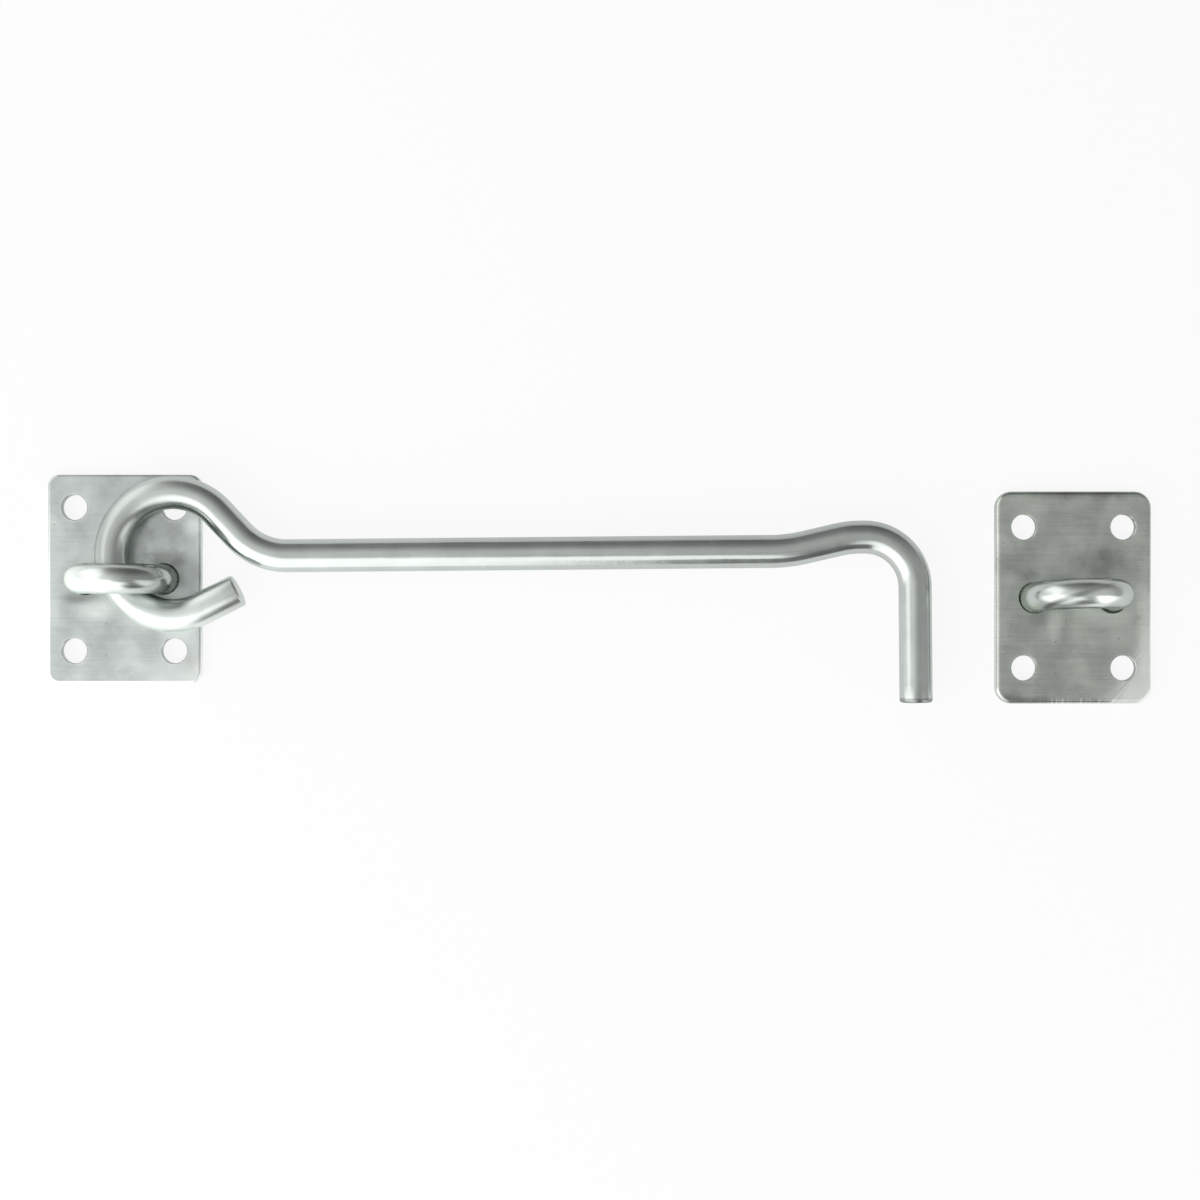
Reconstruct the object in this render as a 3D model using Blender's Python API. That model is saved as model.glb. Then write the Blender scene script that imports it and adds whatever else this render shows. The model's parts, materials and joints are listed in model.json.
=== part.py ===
"""Hook and eye latch: a bent rod hook held by the eye of one plate, and a keeper plate with an eye.

The latch lies on its back. The origin is the centre of the hook plate's back face, +X runs
along the hook to the keeper, +Y is up the plates and +Z comes out of their front faces.
Lengths are in metres and angles in degrees.
"""

import math

import bmesh
import bpy
from mathutils import Matrix, Vector

# Rod and bar stock
ROD_DIAMETER = 0.0080
EYE_BAR_DIAMETER = 0.0072
PLATE_THICKNESS = 0.0025

# Clearances
SEAT_GAP = 0.0003  # between pieces that touch
EYE_PLAY = 0.0038  # clear width of an eye beyond the rod that goes through it
RING_TO_OUTER_LEG = 0.0003  # hook ring to the leg that stands outside it
RING_TO_INNER_LEG = 0.0006  # hook ring to the leg that stands inside it

# Hook, as a bending schedule from the free end of the ring to the end of the prong
FREE_END_LENGTH = 0.0105
RING_RADIUS = 0.0149  # this and the other bend radii are to the rod's centre line
RING_WRAP = 253.5
NECK_LENGTH = 0.0076
NECK_RADIUS = 0.0158
NECK_TURN = 47.4
SHANK_LENGTH = 0.1173
RISE_RADIUS = 0.0360
RISE_TURN = 12.5
RISE_LENGTH = 0.0086
CREST_RADIUS = 0.0240
CREST_LENGTH = 0.0011
PRONG_RADIUS = 0.0122
PRONG_TURN = 90.0
PRONG_LENGTH = 0.0280
ROD_END_CHAMFER = 0.0007
HOOK_REST_ANGLE = 0.51  # the shank lies this much off the X axis

# Eyes
EYE_LEG_HEIGHT = 0.0065  # straight part of a leg above the plate's front
TAIL_FLARE = 0.0012  # the riveted tail spreads by this much over the same depth
TAIL_RECESS = 0.0001  # tail end below the plate's back face

# Plates
HOOK_PLATE_SIDE = 0.0056  # from the eye's outside to the plate's side edge
HOOK_PLATE_HEIGHT = 0.0510
HOOK_PLATE_CORNER = 0.0028
HOOK_PLATE_EDGE = 0.0006
HOOK_PLATE_INSET_X = 0.0065  # plate edge to screw hole centre
HOOK_PLATE_INSET_Y = 0.0080
KEEPER_PLATE_SIDE = 0.0059
KEEPER_PLATE_HEIGHT = 0.0518
KEEPER_PLATE_CORNER = 0.0040
KEEPER_PLATE_EDGE = 0.0010
KEEPER_PLATE_INSET_X = 0.0069
KEEPER_PLATE_INSET_Y = 0.0087
SCREW_HOLE_DIAMETER = 0.0062

# Where the keeper lies
KEEPER_LENGTH = 0.0393  # from the prong to the keeper centre, along X
KEEPER_OFFSET = 0.0045  # keeper centre below the hook plate's centre, along Y

# Fineness of the round shapes
ROUND_SIDES = 24
BEND_STEP = 7.5  # largest turn of one facet in a bend
HOLE_SIDES = 32
CORNER_FACETS = 5
EDGE_FACETS = 3
CHAMFER_FACETS = 2
SMOOTH_ANGLE = 32.0

ROD_RADIUS = ROD_DIAMETER / 2
EYE_BAR_RADIUS = EYE_BAR_DIAMETER / 2
EYE_SPACING = ROD_DIAMETER + EYE_PLAY + EYE_BAR_DIAMETER  # between the leg centres
EYE_WIDTH = EYE_SPACING + EYE_BAR_DIAMETER
ROD_HEIGHT = PLATE_THICKNESS + SEAT_GAP + ROD_RADIUS

UP = Vector((0, 0, 1))
ALONG_PLATE = Vector((0, 1, 0))


def clear_scene():
    """Remove every object that the scene holds."""
    for thing in list(bpy.data.objects):
        bpy.data.objects.remove(thing, do_unlink=True)


def steel(name, colour, roughness):
    """A satin stainless steel."""
    material = bpy.data.materials.new(name)
    material.use_nodes = True
    shader = material.node_tree.nodes["Principled BSDF"]
    shader.inputs["Base Color"].default_value = (*colour, 1.0)
    shader.inputs["Metallic"].default_value = 1.0
    shader.inputs["Roughness"].default_value = roughness
    material.diffuse_color = (*colour, 1.0)
    return material


def add_object(name, form, material=None):
    """Turn a bmesh into a named object of the scene."""
    bmesh.ops.recalc_face_normals(form, faces=form.faces)
    mesh = bpy.data.meshes.new(name)
    form.to_mesh(mesh)
    form.free()
    mesh.shade_smooth()
    mesh.set_sharp_from_angle(angle=math.radians(SMOOTH_ANGLE))
    if material:
        mesh.materials.append(material)
    thing = bpy.data.objects.new(name, mesh)
    bpy.context.collection.objects.link(thing)
    return thing


def add_empty(name, place, turn=0.0):
    """An empty that carries pieces, turned about +Z."""
    empty = bpy.data.objects.new(name, None)
    empty.location = place
    empty.rotation_euler.z = math.radians(turn)
    bpy.context.collection.objects.link(empty)
    return empty


class Bar:
    """A round bar that grows from one end face, as stock does through a bending machine."""

    def __init__(self, radius, start, heading, sides=ROUND_SIDES):
        self.form = bmesh.new()
        self.radius = radius
        self.place = Vector(start)
        self.heading = Vector(heading).normalized()
        facing = self.heading.to_track_quat("Z", "Y").to_matrix().to_4x4()
        bmesh.ops.create_circle(
            self.form,
            cap_ends=True,
            segments=sides,
            radius=radius,
            matrix=Matrix.Translation(self.place) @ facing,
        )
        self.rim = list(self.form.edges)
        self.start_rim = list(self.rim)

    def extrude_rim(self, step):
        grown = bmesh.ops.extrude_edge_only(self.form, edges=self.rim)["geom"]
        points = [item for item in grown if isinstance(item, bmesh.types.BMVert)]
        bmesh.ops.translate(self.form, vec=step, verts=points)
        moved = set(points)
        edges = [item for item in grown if isinstance(item, bmesh.types.BMEdge)]
        self.rim = [edge for edge in edges if moved.issuperset(edge.verts)]
        self.place = self.place + step
        return points

    def straight(self, length):
        self.extrude_rim(self.heading * length)

    def taper(self, length, radius):
        points = self.extrude_rim(self.heading * length)
        share = radius / self.radius
        about = Matrix.Translation(-self.place)
        bmesh.ops.scale(self.form, vec=(share, share, share), space=about, verts=points)
        self.radius = radius

    def bend(self, radius, turn, axis):
        """Turn the bar by a signed angle about an axis at its side."""
        side = axis.cross(self.heading) * math.copysign(radius, turn)
        centre = self.place + side
        ends = {point for edge in self.rim for point in edge.verts}
        steps = max(2, math.ceil(abs(turn) / BEND_STEP))
        spun = bmesh.ops.spin(
            self.form,
            geom=list(ends) + self.rim,
            cent=centre,
            axis=axis,
            angle=math.radians(turn),
            steps=steps,
            use_duplicate=False,
        )
        last = spun["geom_last"]
        self.rim = [item for item in last if isinstance(item, bmesh.types.BMEdge)]
        swing = Matrix.Rotation(math.radians(turn), 3, axis)
        self.place = centre - swing @ side
        self.heading = swing @ self.heading

    def close(self, chamfer=0.0):
        """Cap the open end, break the corners of both ends and hand over the form."""
        bmesh.ops.edgeloop_fill(self.form, edges=self.rim)
        if chamfer:
            rims = self.start_rim + self.rim
            bmesh.ops.bevel(
                self.form,
                geom=rims,
                offset=chamfer,
                segments=CHAMFER_FACETS,
                profile=0.5,
                affect="EDGES",
            )
        return self.form


def ring_centre():
    """Where the hook's ring turns, from its clearances to the two legs of its eye."""
    to_outer = RING_RADIUS + ROD_RADIUS + EYE_BAR_RADIUS + RING_TO_OUTER_LEG
    to_inner = RING_RADIUS - ROD_RADIUS - EYE_BAR_RADIUS - RING_TO_INNER_LEG
    along = (to_outer**2 - to_inner**2 + EYE_SPACING**2) / (2 * EYE_SPACING)
    above = math.sqrt(to_outer**2 - along**2)
    return Vector((along - EYE_SPACING / 2, above, ROD_HEIGHT))


def make_hook(material):
    """The rod hook about its ring's centre, and the prong's place along the shank."""
    heading_angle = math.radians(RING_WRAP - NECK_TURN)
    heading = Vector((math.cos(heading_angle), math.sin(heading_angle), 0))
    ring_start = heading.cross(UP) * -RING_RADIUS
    rod = Bar(ROD_RADIUS, ring_start - heading * FREE_END_LENGTH, heading)
    rod.straight(FREE_END_LENGTH)
    rod.bend(RING_RADIUS, -RING_WRAP, UP)
    rod.straight(NECK_LENGTH)
    rod.bend(NECK_RADIUS, NECK_TURN, UP)
    rod.straight(SHANK_LENGTH)
    rod.bend(RISE_RADIUS, RISE_TURN, UP)
    rod.straight(RISE_LENGTH)
    rod.bend(CREST_RADIUS, -RISE_TURN, UP)
    rod.straight(CREST_LENGTH)
    rod.bend(PRONG_RADIUS, -PRONG_TURN, UP)
    prong_x = rod.place.x
    rod.straight(PRONG_LENGTH)
    return add_object("hook", rod.close(ROD_END_CHAMFER), material), prong_x


def make_eye(name, material):
    """A bar bent over to an arch, its two tails spread behind the plate."""
    tail_radius = EYE_BAR_RADIUS + TAIL_FLARE
    leg = PLATE_THICKNESS + EYE_LEG_HEIGHT - TAIL_RECESS - TAIL_FLARE
    bar = Bar(tail_radius, (-EYE_SPACING / 2, 0, TAIL_RECESS), UP)
    bar.taper(TAIL_FLARE, EYE_BAR_RADIUS)
    bar.straight(leg)
    bar.bend(EYE_SPACING / 2, 180.0, ALONG_PLATE)
    bar.straight(leg)
    bar.taper(TAIL_FLARE, tail_radius)
    return add_object(name, bar.close(), material)


def screw_hole(place):
    """A cutter for a plain hole through a plate."""
    start = Vector((*place, -PLATE_THICKNESS))
    bar = Bar(SCREW_HOLE_DIAMETER / 2, start, UP, HOLE_SIDES)
    bar.straight(3 * PLATE_THICKNESS)
    return bar.close()


def leg_hole(place):
    """A cutter for an eye leg's hole, with room for the spread tail at the back."""
    hole_radius = EYE_BAR_RADIUS + SEAT_GAP
    slant_gap = SEAT_GAP * (math.sqrt(2) - 1)
    depth = TAIL_RECESS + TAIL_FLARE + slant_gap
    start = Vector((*place, -PLATE_THICKNESS))
    bar = Bar(hole_radius + depth + PLATE_THICKNESS, start, UP, HOLE_SIDES)
    bar.taper(PLATE_THICKNESS + depth, hole_radius)
    bar.straight(2 * PLATE_THICKNESS)
    return bar.close()


def add_cutter(name, forms):
    """One hidden object that holds all the holes of a plate."""
    merged = bmesh.new()
    for form in forms:
        mesh = bpy.data.meshes.new(name)
        form.to_mesh(mesh)
        form.free()
        merged.from_mesh(mesh)
        bpy.data.meshes.remove(mesh)
    cutter = add_object(name, merged)
    cutter.hide_render = True
    cutter.display_type = "WIRE"
    return cutter


def make_plate(name, side, height, corner, edge, inset_x, inset_y, material):
    """A plate with round corners and front edges, four screw holes and two leg holes."""
    width = EYE_WIDTH + 2 * side
    form = bmesh.new()
    bmesh.ops.create_grid(form, x_segments=1, y_segments=1, size=0.5)
    bmesh.ops.scale(form, vec=(width, height, 1), verts=form.verts)
    bmesh.ops.bevel(
        form,
        geom=list(form.verts),
        offset=corner,
        segments=CORNER_FACETS,
        profile=0.5,
        affect="VERTICES",
    )
    grown = bmesh.ops.extrude_face_region(form, geom=list(form.faces))["geom"]
    points = [item for item in grown if isinstance(item, bmesh.types.BMVert)]
    bmesh.ops.translate(form, vec=UP * PLATE_THICKNESS, verts=points)
    front = [item for item in grown if isinstance(item, bmesh.types.BMFace)][0]
    bmesh.ops.bevel(
        form,
        geom=list(front.edges),
        offset=edge,
        segments=EDGE_FACETS,
        profile=0.5,
        affect="EDGES",
    )
    plate = add_object(name, form, material)

    hole_x = width / 2 - inset_x
    hole_y = height / 2 - inset_y
    holes = [screw_hole((x, y)) for x in (-hole_x, hole_x) for y in (-hole_y, hole_y)]
    holes += [leg_hole((x, 0)) for x in (-EYE_SPACING / 2, EYE_SPACING / 2)]
    cutter = add_cutter(name + "_holes", holes)
    cutter.parent = plate
    cut = plate.modifiers.new("holes", "BOOLEAN")
    cut.operation = "DIFFERENCE"
    cut.solver = "EXACT"
    cut.object = cutter
    return plate


def build():
    clear_scene()

    make_plate(
        "hook_plate",
        HOOK_PLATE_SIDE,
        HOOK_PLATE_HEIGHT,
        HOOK_PLATE_CORNER,
        HOOK_PLATE_EDGE,
        HOOK_PLATE_INSET_X,
        HOOK_PLATE_INSET_Y,
        steel("hook_plate_steel", (0.56, 0.57, 0.56), 0.34),
    )
    make_eye("hook_eye", steel("hook_eye_steel", (0.58, 0.59, 0.57), 0.28))

    pivot = ring_centre()
    hook_axis = add_empty("hook_axis", pivot, HOOK_REST_ANGLE)
    hook, prong_x = make_hook(steel("hook_steel", (0.60, 0.61, 0.60), 0.24))
    hook.parent = hook_axis

    keeper_place = Vector((pivot.x + prong_x + KEEPER_LENGTH, -KEEPER_OFFSET, 0))
    keeper_seat = add_empty("keeper_seat", keeper_place)
    keeper_plate = make_plate(
        "keeper_plate",
        KEEPER_PLATE_SIDE,
        KEEPER_PLATE_HEIGHT,
        KEEPER_PLATE_CORNER,
        KEEPER_PLATE_EDGE,
        KEEPER_PLATE_INSET_X,
        KEEPER_PLATE_INSET_Y,
        steel("keeper_plate_steel", (0.54, 0.56, 0.54), 0.34),
    )
    keeper_plate.parent = keeper_seat
    keeper_eye = make_eye("keeper_eye", steel("keeper_eye_steel", (0.57, 0.58, 0.56), 0.28))
    keeper_eye.parent = keeper_seat


build()
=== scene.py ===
# %% [markdown]
# Hook and eye latch
# The latch lies on its back on white paper: a plate with an eye on the left, a bent rod hook
# whose ring goes through that eye, and a second plate with an eye, the keeper, on the right.
# All of it is satin stainless steel, so most of what the eye sees is the room in the metal.
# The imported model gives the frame, and every place and size below is in metres in that frame.
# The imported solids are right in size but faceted, so this script models each piece again with
# finer bends and broken edges, gives it a steel finish, and lets it ride on its body.

# %% Load the frame
import json
import math

import bmesh
import bpy
import numpy as np
from mathutils import Matrix, Vector


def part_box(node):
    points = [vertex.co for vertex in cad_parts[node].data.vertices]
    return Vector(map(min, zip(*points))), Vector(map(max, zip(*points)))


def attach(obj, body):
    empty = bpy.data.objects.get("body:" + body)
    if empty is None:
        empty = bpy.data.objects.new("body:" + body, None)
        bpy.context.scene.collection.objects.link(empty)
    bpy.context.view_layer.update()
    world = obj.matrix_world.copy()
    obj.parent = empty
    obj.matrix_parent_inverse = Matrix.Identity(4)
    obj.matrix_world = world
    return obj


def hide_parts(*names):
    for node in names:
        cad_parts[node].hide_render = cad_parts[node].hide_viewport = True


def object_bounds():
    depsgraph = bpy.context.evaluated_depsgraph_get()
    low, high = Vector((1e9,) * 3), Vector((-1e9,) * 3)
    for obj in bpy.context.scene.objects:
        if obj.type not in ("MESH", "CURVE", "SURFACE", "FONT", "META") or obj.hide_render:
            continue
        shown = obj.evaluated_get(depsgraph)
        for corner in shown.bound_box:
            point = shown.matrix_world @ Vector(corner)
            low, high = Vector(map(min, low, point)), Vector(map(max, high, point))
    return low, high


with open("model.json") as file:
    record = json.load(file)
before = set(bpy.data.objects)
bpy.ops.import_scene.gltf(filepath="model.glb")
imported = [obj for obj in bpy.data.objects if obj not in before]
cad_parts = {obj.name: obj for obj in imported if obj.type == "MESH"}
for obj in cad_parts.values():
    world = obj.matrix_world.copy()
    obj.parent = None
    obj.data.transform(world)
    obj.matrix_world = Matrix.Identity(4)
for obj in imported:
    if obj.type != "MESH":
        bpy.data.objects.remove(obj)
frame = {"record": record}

MM = 0.001

cad_low, cad_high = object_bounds()
print("frame box in mm", [round(v / MM, 1) for v in (*cad_low, *cad_high)])

# %% [markdown]
# Sizes
# What the frame can tell is read from it: the rod's thickness from the hook's box, and the point
# that the hook swings about from the joint. The bar of the eyes, the spread of its riveted tails
# and the holes are stock and drill sizes, so they are written down once here.

# %% Sizes
UP = Vector((0, 0, 1))
ALONG_PLATE = Vector((0, 1, 0))

record = frame["record"]
hinge = next(joint for joint in record["behaviour"]["joints"] if joint["name"] == "hook_swing")
pivot = Vector(hinge["pos_m"])

hook_low, hook_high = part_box("hook")
rod_radius = (hook_high.z - hook_low.z) / 2

EYE_BAR_RADIUS = 3.6 * MM
TAIL_FLARE = 1.2 * MM
TAIL_RADIUS = EYE_BAR_RADIUS + TAIL_FLARE
SCREW_HOLE_RADIUS = 3.1 * MM
LEG_HOLE_GAP = 0.3 * MM

print("pivot in mm", [round(v / MM, 2) for v in pivot], "rod radius", round(rod_radius / MM, 2))

# %% [markdown]
# Bending schedule
# The hook's bends can't be read from a box. They are written as a workshop would order such a
# hook: straight lengths, and bends to the rod's centre line with their turn in degrees. It runs
# from the free end of the ring to the tip of the prong.

# %% Bending schedule
FREE_END = 10.5 * MM
RING_RADIUS, RING_TURN = 14.9 * MM, 253.5
NECK_LENGTH = 7.6 * MM
NECK_RADIUS, NECK_TURN = 15.8 * MM, 47.4
SHANK_LENGTH = 117.3 * MM
RISE_RADIUS, RISE_TURN = 36.0 * MM, 12.5
RISE_LENGTH = 8.6 * MM
CREST_RADIUS = 24.0 * MM
CREST_LENGTH = 1.1 * MM
PRONG_RADIUS, PRONG_TURN = 12.2 * MM, 90.0
PRONG_LENGTH = 28.0 * MM

HOOK_SCHEDULE = (
    ("straight", FREE_END),
    ("bend", RING_RADIUS, -RING_TURN),
    ("straight", NECK_LENGTH),
    ("bend", NECK_RADIUS, NECK_TURN),
    ("straight", SHANK_LENGTH),
    ("bend", RISE_RADIUS, RISE_TURN),
    ("straight", RISE_LENGTH),
    ("bend", CREST_RADIUS, -RISE_TURN),
    ("straight", CREST_LENGTH),
    ("bend", PRONG_RADIUS, -PRONG_TURN),
    ("straight", PRONG_LENGTH),
)
HOOK_REST_ANGLE = 0.51  # the shank lies this much off the X axis

print("steps in the schedule", len(HOOK_SCHEDULE))

# %% [markdown]
# Edit mode
# Most operators work on what is selected, as by hand. In a script the selection is made by a
# rule, such as "faces with more than four corners", so that it doesn't depend on the order in
# which faces were made. A finished piece has its doubles merged and its faces turned outwards,
# and is shaded smooth except where two faces meet at a sharp corner.

# %% Edit mode, a selection by rule, and the last steps of a piece
MERGE_DISTANCE = 0.001 * MM
SMOOTH_ANGLE = 30.0


def to_edit():
    bpy.ops.object.mode_set(mode="EDIT")


def to_object():
    bpy.ops.object.mode_set(mode="OBJECT")


def select_faces(thing, chosen):
    """Select, in face mode, the faces that a rule chooses, and nothing else."""
    bpy.ops.mesh.select_mode(type="FACE")
    bpy.ops.mesh.select_all(action="DESELECT")
    form = bmesh.from_edit_mesh(thing.data)
    for face in form.faces:
        face.select_set(bool(chosen(face)))
    form.select_flush(True)
    bmesh.update_edit_mesh(thing.data)


def tidy_up(thing):
    """Merge doubles, turn the faces outwards, leave edit mode and shade the piece."""
    bpy.ops.mesh.select_all(action="SELECT")
    bpy.ops.mesh.remove_doubles(threshold=MERGE_DISTANCE)
    bpy.ops.mesh.normals_make_consistent(inside=False)
    to_object()
    bpy.ops.object.shade_smooth_by_angle(angle=math.radians(SMOOTH_ANGLE))
    print(thing.name, len(thing.data.vertices), "points", len(thing.data.polygons), "faces")


# %% [markdown]
# Round bar
# The hook and both eyes are the same job: a round face is pushed along a line, turned about a
# point beside it, and pushed on. In Blender that is Extrude for a straight stretch and Spin for
# a bend. A curve with a bevel would be shorter to write, but the operators keep each bend a true
# arc. The bar notes where each of its rings stands, because its finish needs that later.

# %% A bar that grows in edit mode
BAR_SIDES = 64
BEND_STEP = 2.5
STRAIGHT_STEP = 5 * MM


class Bar:
    """A bar that grows from a round face, in edit mode, and notes its rings."""

    def __init__(self, name, radius, place, heading):
        self.radius = radius
        self.place = Vector(place)
        self.heading = Vector(heading).normalized()
        self.distance = 0.0
        self.rings = []
        bpy.ops.object.select_all(action="DESELECT")
        bpy.ops.mesh.primitive_circle_add(
            vertices=BAR_SIDES,
            radius=radius,
            fill_type="NGON",
            location=self.place,
            rotation=self.heading.to_track_quat("Z", "Y").to_euler(),
        )
        self.thing = bpy.context.object
        self.thing.name = name
        bpy.ops.object.transform_apply(location=True, rotation=True, scale=True)
        to_edit()
        bpy.ops.mesh.select_all(action="SELECT")
        self.note_ring()

    def note_ring(self):
        self.rings.append((self.place.copy(), self.heading.copy(), self.distance))

    def straight(self, length):
        parts = max(1, round(length / STRAIGHT_STEP))
        step = self.heading * (length / parts)
        for _ in range(parts):
            bpy.ops.mesh.extrude_region_move(TRANSFORM_OT_translate={"value": step})
            self.place = self.place + step
            self.distance += length / parts
            self.note_ring()

    def taper(self, length, radius):
        self.straight(length)
        share = radius / self.radius
        bpy.ops.transform.resize(value=(share, share, share), center_override=self.place)
        self.radius = radius

    def bend(self, radius, turn, axis):
        """Turn the bar by signed degrees about an axis; Spin counts its angle the other way."""
        side = axis.cross(self.heading) * math.copysign(radius, turn)
        centre = self.place + side
        steps = math.ceil(abs(turn) / BEND_STEP)
        bpy.ops.mesh.spin(steps=steps, angle=-math.radians(turn), center=centre, axis=axis)
        start = self.heading
        for step in range(1, steps + 1):
            swing = Matrix.Rotation(math.radians(turn) * step / steps, 3, axis)
            self.place = centre - swing @ side
            self.heading = swing @ start
            self.distance += radius * math.radians(abs(turn)) / steps
            self.note_ring()


print("sides of a bar", BAR_SIDES, "and degrees in a facet of a bend", BEND_STEP)

# %% [markdown]
# Straightened places
# Draw marks run along a rod and follow its bends, so a pattern on plain coordinates would cut
# straight across them. Every point of a bar's skin is therefore given the place that it had
# while the bar was still straight: how far along, how far beside and how far above the centre
# line. A material can read that from the attribute.

# %% Store the straightened places
def store_straightened(bar, axis):
    mesh = bar.thing.data
    centres = np.array([place for place, _, _ in bar.rings])
    places = np.zeros((len(mesh.vertices), 3))
    for index, vertex in enumerate(mesh.vertices):
        nearest = np.argmin(((centres - vertex.co) ** 2).sum(axis=1))
        place, heading, distance = bar.rings[nearest]
        offset = vertex.co - place
        places[index] = (distance, offset.dot(axis.cross(heading)), offset.dot(axis))
    layer = mesh.attributes.new("straightened", "FLOAT_VECTOR", "POINT")
    layer.data.foreach_set("vector", places.ravel())
    print(bar.thing.name, "is", round(bar.distance / MM, 1), "mm of bar")


# %% [markdown]
# Bar ends
# A sawn end has its corner broken by a file or a tumbler, so the rims of the hook's two ends are
# bevelled. On every bar a narrow inset keeps the end flat when the skin is shaded smooth.

# %% Finish a bar
END_FACETS = 4
END_INSET = 0.3 * MM


def is_bar_end(face):
    """Only the two round ends have more than four corners."""
    return len(face.verts) > 4


def finish_bar(bar, axis, end_round=0.0):
    """Round the ends, leave edit mode and store what the finish will need."""
    if end_round:
        select_faces(bar.thing, is_bar_end)
        bpy.ops.mesh.region_to_loop()
        bpy.ops.mesh.bevel(offset=end_round, segments=END_FACETS, profile=0.5)
    select_faces(bar.thing, is_bar_end)
    bpy.ops.mesh.inset(thickness=END_INSET)
    tidy_up(bar.thing)
    store_straightened(bar, axis)
    return bar.thing


# %% [markdown]
# Hook
# The hook is one length of drawn rod, and the schedule does the work. The ring's centre is the
# point that the hook swings about, so the free end is found from there, and the whole hook is
# turned by the small angle at which it lies.

# %% Hook
ROD_END_ROUND = 0.7 * MM

rest = Matrix.Rotation(math.radians(HOOK_REST_ANGLE), 3, UP)
start_angle = math.radians(RING_TURN - NECK_TURN)
start_heading = Vector((math.cos(start_angle), math.sin(start_angle), 0))
ring_start = start_heading.cross(UP) * -RING_RADIUS
free_end = ring_start - start_heading * FREE_END

rod = Bar("hook_rod", rod_radius, pivot + rest @ free_end, rest @ start_heading)
for job, size, *turn in HOOK_SCHEDULE:
    if job == "straight":
        rod.straight(size)
    else:
        rod.bend(size, turn[0], UP)
hook_rod = finish_bar(rod, UP, ROD_END_ROUND)
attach(hook_rod, "hook")
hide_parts("hook")
print("prong tip in mm", [round(v / MM, 1) for v in rod.place])

# %% [markdown]
# Eyes
# Each eye is a thinner bar bent over to an arch. Its legs go through the plate, and their tails
# are hammered out into a countersink behind, which is what holds the eye. The keeper's eye was
# riveted a little askew, so it leans up the plate and is twisted on it. It is turned about the
# middle of the plate's thickness, so that both legs stay inside their holes.

# %% Make an eye
HALF_TURN = 180.0
PLATE_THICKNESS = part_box("hook_plate")[1].z


def make_eye(name, node, lean, twist):
    low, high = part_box(node)
    arch_radius = (high.x - low.x) / 2 - TAIL_RADIUS
    lift = TAIL_RADIUS * math.sin(math.radians(lean))
    leg = high.z - low.z - lift - TAIL_FLARE - arch_radius - EYE_BAR_RADIUS
    set_back = PLATE_THICKNESS / 2 * math.tan(math.radians(lean))
    twisted = Matrix.Rotation(math.radians(twist), 3, "Z")
    upright = twisted @ Matrix.Rotation(math.radians(-lean), 3, "X")
    middle = Vector(((low.x + high.x) / 2, (low.y + high.y) / 2, low.z + lift))
    foot = middle + twisted @ Vector((-arch_radius, -set_back, 0))

    eye = Bar(name, TAIL_RADIUS, foot, upright @ UP)
    eye.taper(TAIL_FLARE, EYE_BAR_RADIUS)
    eye.straight(leg)
    eye.bend(arch_radius, HALF_TURN, upright @ ALONG_PLATE)
    eye.straight(leg)
    eye.taper(TAIL_FLARE, TAIL_RADIUS)
    return finish_bar(eye, upright @ ALONG_PLATE)


# %% Both eyes
KEEPER_LEAN = 3.3
KEEPER_TWIST = 1.2

hook_eye = make_eye("hook_eye_bar", "hook_eye", lean=0.0, twist=0.0)
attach(hook_eye, "hook_base")
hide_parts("hook_eye")

keeper_eye = make_eye("keeper_eye_bar", "keeper_eye", lean=KEEPER_LEAN, twist=KEEPER_TWIST)
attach(keeper_eye, "keeper")
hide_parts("keeper_eye")

# %% [markdown]
# Hole places
# The record keeps the screw holes as openings, so their centres are read from it. The legs of an
# eye stand one tail's radius in from the sides of its box.

# %% Hole places
def screw_hole_places(plate):
    prefix = plate + "_screw"
    boxes = [o["box_m"] for o in record["physics"]["openings"] if o["name"].startswith(prefix)]
    return [((low[0] + high[0]) / 2, (low[1] + high[1]) / 2) for low, high in boxes]


def leg_places(eye_node):
    low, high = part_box(eye_node)
    middle_y = (low.y + high.y) / 2
    return [(low.x + TAIL_RADIUS, middle_y), (high.x - TAIL_RADIUS, middle_y)]


for plate_node in ("hook_plate", "keeper_plate"):
    print(plate_node, [(round(x / MM, 1), round(y / MM, 1)) for x, y in screw_hole_places(plate_node)])

# %% [markdown]
# Drills
# A Boolean cuts a plate with another solid. The solids are bars again: a plain drill that widens
# at the plate's front, which leaves the hole deburred, and a countersink for a leg's tail. Each
# sticks out of the plate at both ends, because a cut with two faces in one plane can fail.

# %% Drills
DEBURR = 0.12 * MM
OVERSHOOT = 1.0 * MM


def screw_drill(place):
    drill = Bar("drill", SCREW_HOLE_RADIUS, (*place, -OVERSHOOT), UP)
    drill.straight(OVERSHOOT + PLATE_THICKNESS - DEBURR)
    drill.taper(DEBURR + OVERSHOOT, SCREW_HOLE_RADIUS + DEBURR + OVERSHOOT)
    to_object()
    return drill.thing


def leg_drill(place):
    sink = TAIL_FLARE + LEG_HOLE_GAP
    hole_radius = EYE_BAR_RADIUS + LEG_HOLE_GAP
    drill = Bar("drill", hole_radius + sink + OVERSHOOT, (*place, -OVERSHOOT), UP)
    drill.taper(OVERSHOOT + sink, hole_radius)
    drill.straight(PLATE_THICKNESS - sink + OVERSHOOT)
    to_object()
    return drill.thing


# %% [markdown]
# Plates
# A plate is cut from strip, and its corners and front edges are rounded on a belt. So it starts
# as a flat face at the size of its box: the four corners are bevelled, the face is extruded to
# the plate's thickness, and the rim of the front is bevelled. A narrow inset keeps the front
# flat when the rounded edge is shaded smooth. Then the holes are drilled.

# %% The blank of a plate
CORNER_FACETS = 10
EDGE_FACETS = 6
EDGE_INSET = 0.3 * MM


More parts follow.
